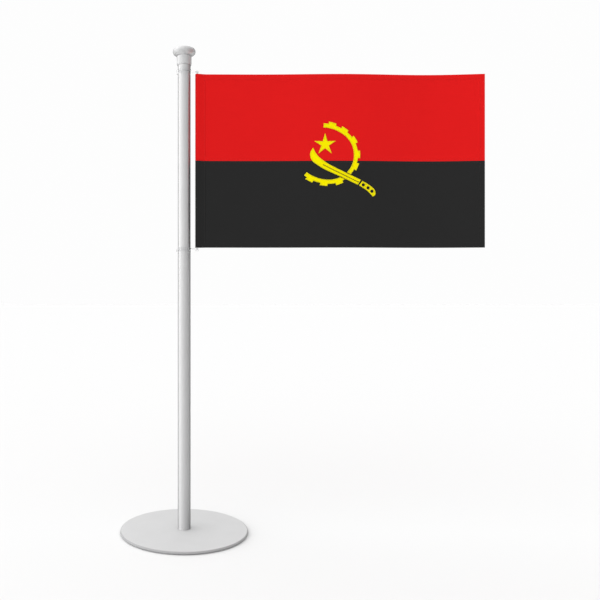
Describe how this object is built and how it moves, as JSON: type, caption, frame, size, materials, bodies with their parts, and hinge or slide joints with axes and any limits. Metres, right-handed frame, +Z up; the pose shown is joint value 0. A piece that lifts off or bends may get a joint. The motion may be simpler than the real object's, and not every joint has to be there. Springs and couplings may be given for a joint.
{
  "type": "desk flag stand",
  "caption": "Desk flag stand: a thin grey-painted disc foot, an upright steel tube with a flattened ball finial, and a red and black oblong flag with a yellow emblem flying from the top.",
  "frame": {"origin": "centre of the underside of the felt under the foot, on the pole's axis", "axes": "+Z up the pole, +X from the pole towards the flag's fly edge, -Y out of the flag's front face"},
  "size_m": [0.3146, 0.11, 0.4188],
  "materials": {
    "foot_paint": "satin silver-grey powder coat on steel",
    "pole_steel": "satin steel tube, fine drawn grain",
    "finial_steel": "turned and bead blasted steel",
    "insert_steel": "plain turned steel, tapped",
    "screw_steel": "zinc plated steel",
    "felt": "pressed grey felt",
    "white_plastic": "white glass-fibre rod and moulded caps",
    "stop_rubber": "clear silicone rubber",
    "clear_plastic": "clear moulded plastic",
    "red_cloth": "stiffened polyester satin, red",
    "black_cloth": "stiffened polyester satin, black",
    "yellow_cloth": "yellow satin with a stitched edge"
  },
  "bodies": {
    "stand": {"base_disc": "foot_paint", "base_felt": "felt", "base_screw": "screw_steel", "pole_tube": "pole_steel", "pole_foot_plug": "insert_steel", "pole_head_plug": "insert_steel"},
    "lower_stop": {"lower_stop_ring": "stop_rubber"},
    "upper_stop": {"upper_stop_ring": "stop_rubber"},
    "flag": {"upper_pole_ring": "clear_plastic", "lower_pole_ring": "clear_plastic", "hoist_rod": "white_plastic", "rod_upper_cap": "white_plastic", "rod_lower_cap": "white_plastic", "flag_red_panel": "red_cloth", "flag_black_panel": "black_cloth", "emblem_gear_front": "yellow_cloth", "emblem_gear_back": "yellow_cloth", "emblem_star_front": "yellow_cloth", "emblem_star_back": "yellow_cloth", "emblem_blade_front": "yellow_cloth", "emblem_blade_back": "yellow_cloth", "emblem_handle_front": "yellow_cloth", "emblem_handle_back": "yellow_cloth"},
    "finial_lifter": {"finial_collar": "finial_steel"},
    "finial_turner": {"finial_knob": "finial_steel", "finial_stud": "screw_steel"}
  },
  "joints": [
    {"name": "flag_height", "type": "slide", "parent": "stand", "child": "lower_stop", "axis": [0, 0, 1], "range_m": [-0.239, 0.0039]},
    {"name": "flag_swivel", "type": "hinge", "parent": "lower_stop", "child": "flag", "pos_m": [0, 0, 0.32], "axis": [0, 0, 1], "continuous": true},
    {"name": "upper_stop_slide", "type": "slide", "parent": "stand", "child": "upper_stop", "axis": [0, 0, 1], "range_m": [-0.239, 0.0039]},
    {"name": "finial_lift", "type": "slide", "parent": "stand", "child": "finial_lifter", "axis": [0, 0, 1], "range_m": [0, 0.00961]},
    {"name": "finial_turn", "type": "hinge", "parent": "finial_lifter", "child": "finial_turner", "pos_m": [0, 0, 0.41], "axis": [0, 0, 1], "range_deg": [0, 4320]}
  ],
  "couplings": [
    {"joint": "upper_stop_slide", "follows": "flag_height", "ratio": 1},
    {"joint": "finial_lift", "follows": "finial_turn", "m_per_rad": 0.00012732}
  ]
}
